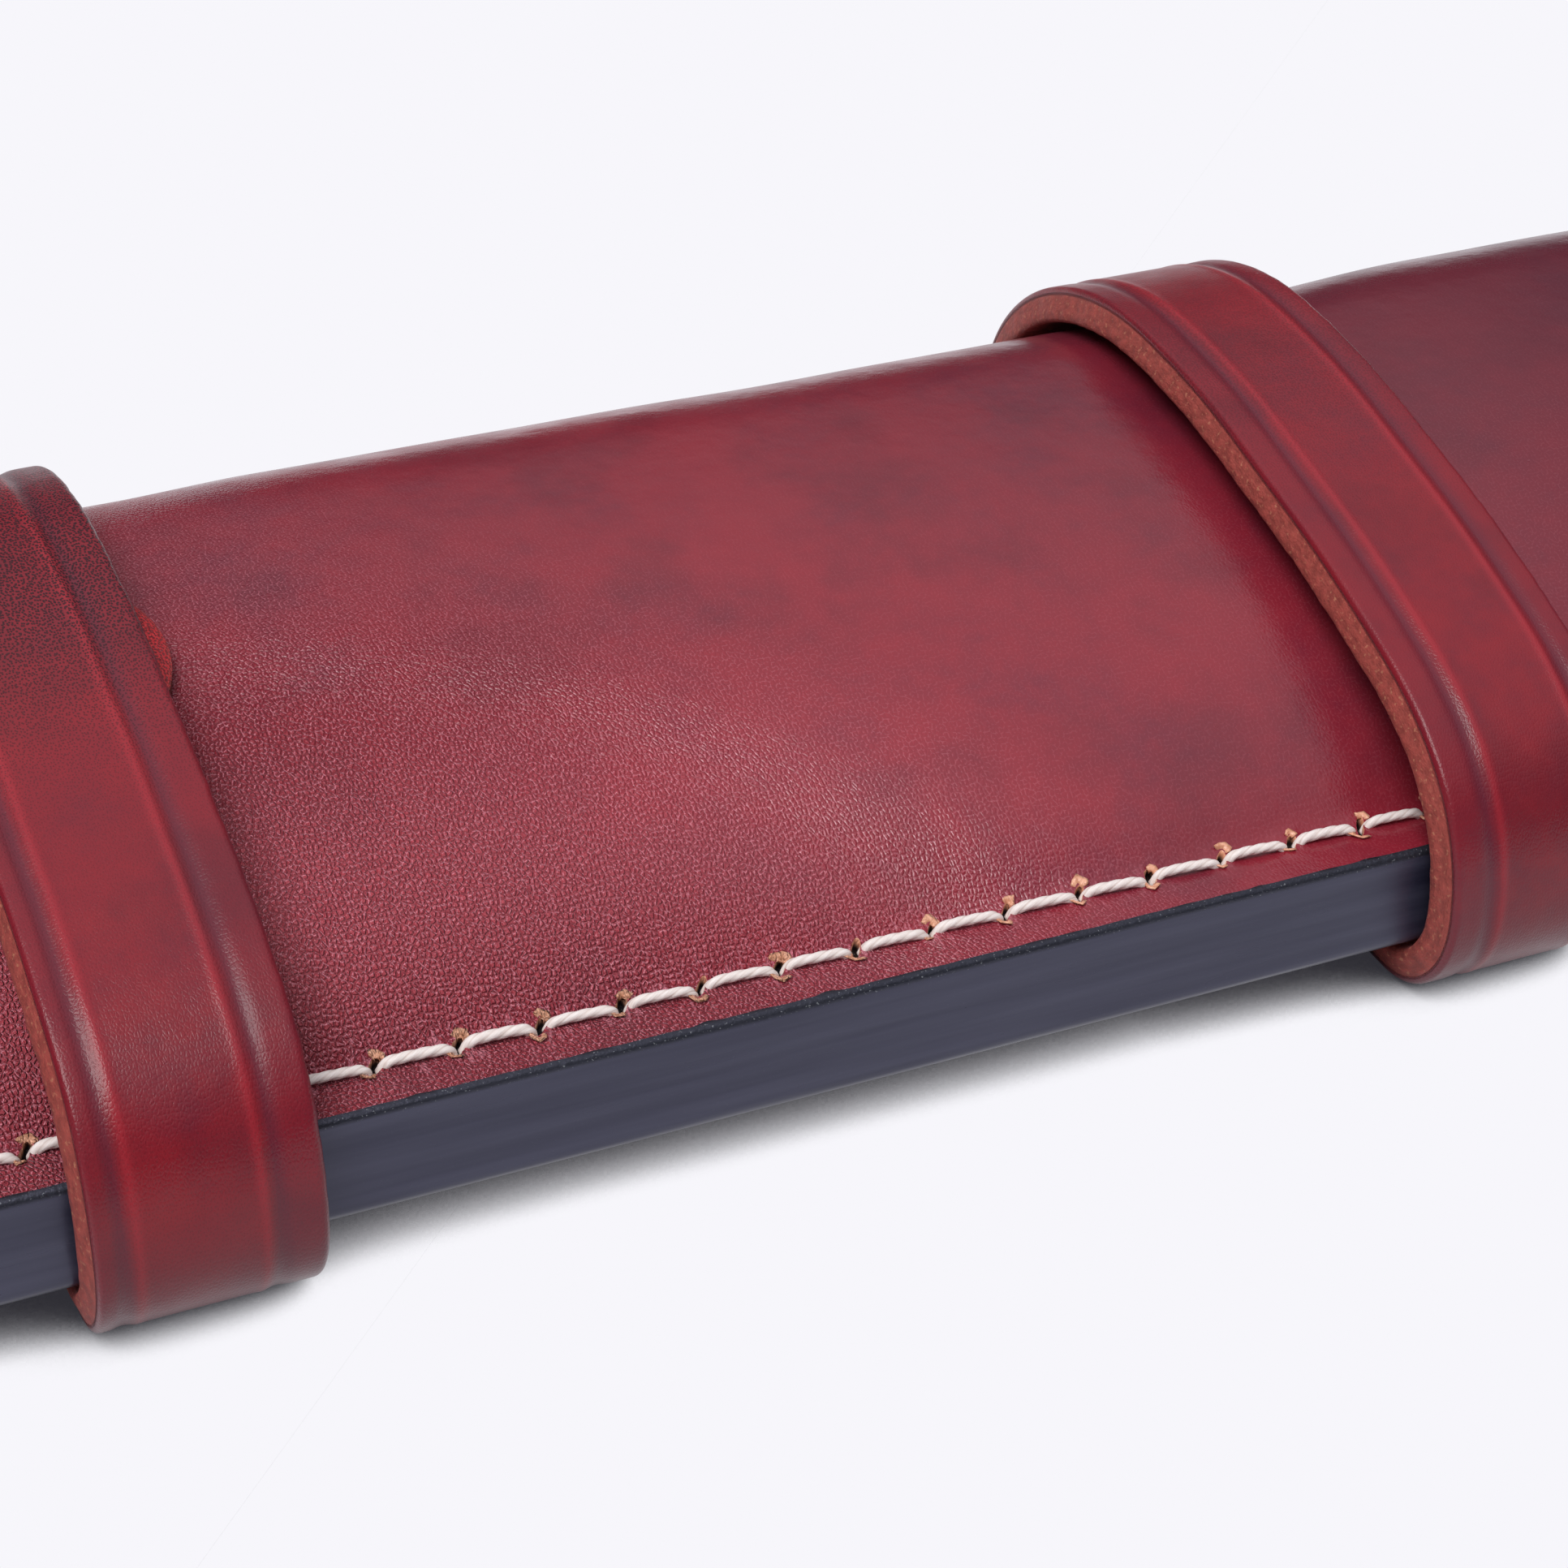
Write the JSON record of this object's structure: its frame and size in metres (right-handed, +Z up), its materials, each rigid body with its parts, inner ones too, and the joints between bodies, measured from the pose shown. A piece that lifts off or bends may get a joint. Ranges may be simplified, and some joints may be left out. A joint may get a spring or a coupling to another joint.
{
  "type": "pencil case",
  "caption": "Long folded leather pencil case with a saddle-stitched painted edge, an end flap with a tuck-in tongue and sliding keeper bands.",
  "frame": {"origin": "centre of the footprint on the surface that the bands stand on", "axes": "+X along the case from the flapped mouth to the closed end, +Y from the sewn edge to the folded back, +Z up through the flap"},
  "size_m": [0.207, 0.0534, 0.0234],
  "materials": {
    "sleeve_leather": "burgundy grained leather, satin, mottled",
    "band_leather": "burgundy smooth leather with creased lines and burnished edges",
    "tan_leather": "orange-red leather, fine grain",
    "edge_paint": "satin charcoal edge paint",
    "thread": "cream waxed thread, twisted"
  },
  "bodies": {
    "case": {"sleeve": "sleeve_leather", "welt": "sleeve_leather", "edge_paint": "edge_paint", "seam_stitches": "thread", "end_plug": "tan_leather", "end_stitches": "thread", "flap_lower_bend": "sleeve_leather"},
    "flap_front": {"flap_cover": "sleeve_leather", "flap_upper_bend": "sleeve_leather"},
    "flap_top": {"flap_panel": "sleeve_leather", "flap_tongue": "tan_leather", "tongue_stitches": "thread"},
    "keeper_left": {"band_left": "band_leather", "band_left_stitches": "thread"},
    "keeper_right": {"band_right": "band_leather", "band_right_stitches": "thread"}
  },
  "joints": [
    {"name": "flap_lift", "type": "hinge", "parent": "case", "child": "flap_front", "pos_m": [-0.1005, 0, 0.0053], "axis": [0, -1, 0], "range_deg": [0, 90], "deforming": ["flap_lower_bend"]},
    {"name": "flap_unfold", "type": "hinge", "parent": "flap_front", "child": "flap_top", "pos_m": [-0.1005, -0.00362, 0.01706], "axis": [0, -0.9715, -0.2368], "range_deg": [0, 90], "deforming": ["flap_upper_bend", "flap_tongue"]},
    {"name": "band_left_slide", "type": "slide", "parent": "case", "child": "keeper_left", "axis": [1, 0, 0], "range_m": [-0.012, 0.018]},
    {"name": "band_right_slide", "type": "slide", "parent": "case", "child": "keeper_right", "axis": [1, 0, 0], "range_m": [-0.018, 0.03]}
  ]
}
